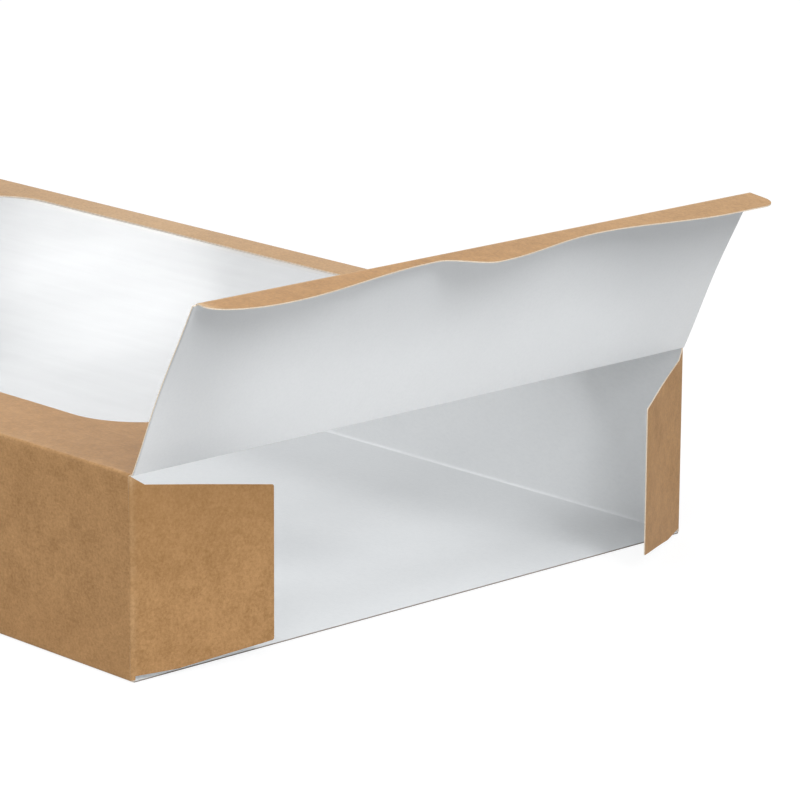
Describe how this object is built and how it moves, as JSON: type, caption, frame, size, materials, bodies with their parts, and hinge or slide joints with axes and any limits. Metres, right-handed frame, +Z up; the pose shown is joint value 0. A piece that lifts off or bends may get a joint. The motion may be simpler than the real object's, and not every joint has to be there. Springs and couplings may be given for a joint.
{
  "type": "takeaway box",
  "caption": "Long flat takeaway box folded from brown board, white inside, with a film window in its top and a lid flap with a waved tuck at each end; the front end stands open.",
  "frame": {"origin": "middle of the underside of the carton's floor, on the surface it stands on", "axes": "+X along the box towards its open front end, +Y towards the side wall that is on the right when one looks into the open front end, +Z up"},
  "size_m": [0.5551, 0.305, 0.1559],
  "materials": {
    "board": "matte",
    "film": "gloss"
  },
  "bodies": {
    "box": {"carton_body": "board", "window_film": "film"},
    "front_lid": {"front_lid_flap": "board"},
    "front_tuck": {"front_tuck_flap": "board"},
    "front_dust_left": {"front_dust_flap_left": "board"},
    "front_dust_right": {"front_dust_flap_right": "board"},
    "rear_lid": {"rear_lid_flap": "board"}
  },
  "joints": [
    {"name": "front_lid_swing", "type": "hinge", "parent": "box", "child": "front_lid", "pos_m": [0.25055, 0, 0.08275], "axis": [0, -1, 0], "range_deg": [-153.5, 76]},
    {"name": "front_tuck_fold", "type": "hinge", "parent": "front_lid", "child": "front_tuck", "pos_m": [0.28692, 0, 0.15569], "axis": [0, -1, 0], "range_deg": [-28.5, 14.5]},
    {"name": "front_dust_left_swing", "type": "hinge", "parent": "box", "child": "front_dust_left", "pos_m": [0.24975, -0.15225, 0.0415], "axis": [0, 0, 1], "range_deg": [-7.5, 15]},
    {"name": "front_dust_right_swing", "type": "hinge", "parent": "box", "child": "front_dust_right", "pos_m": [0.24975, 0.15225, 0.0415], "axis": [0, 0, -1], "range_deg": [-16.5, 32.5]},
    {"name": "rear_lid_swing", "type": "hinge", "parent": "box", "child": "rear_lid", "pos_m": [-0.25055, 0, 0.08275], "axis": [0, 1, 0], "range_deg": [0, 229]}
  ],
  "couplings": [
    {"joint": "front_tuck_fold", "follows": "front_lid_swing", "ratio": 0.1824},
    {"joint": "front_dust_left_swing", "follows": "front_lid_swing", "ratio": -0.0945},
    {"joint": "front_dust_right_swing", "follows": "front_lid_swing", "ratio": -0.2085}
  ]
}
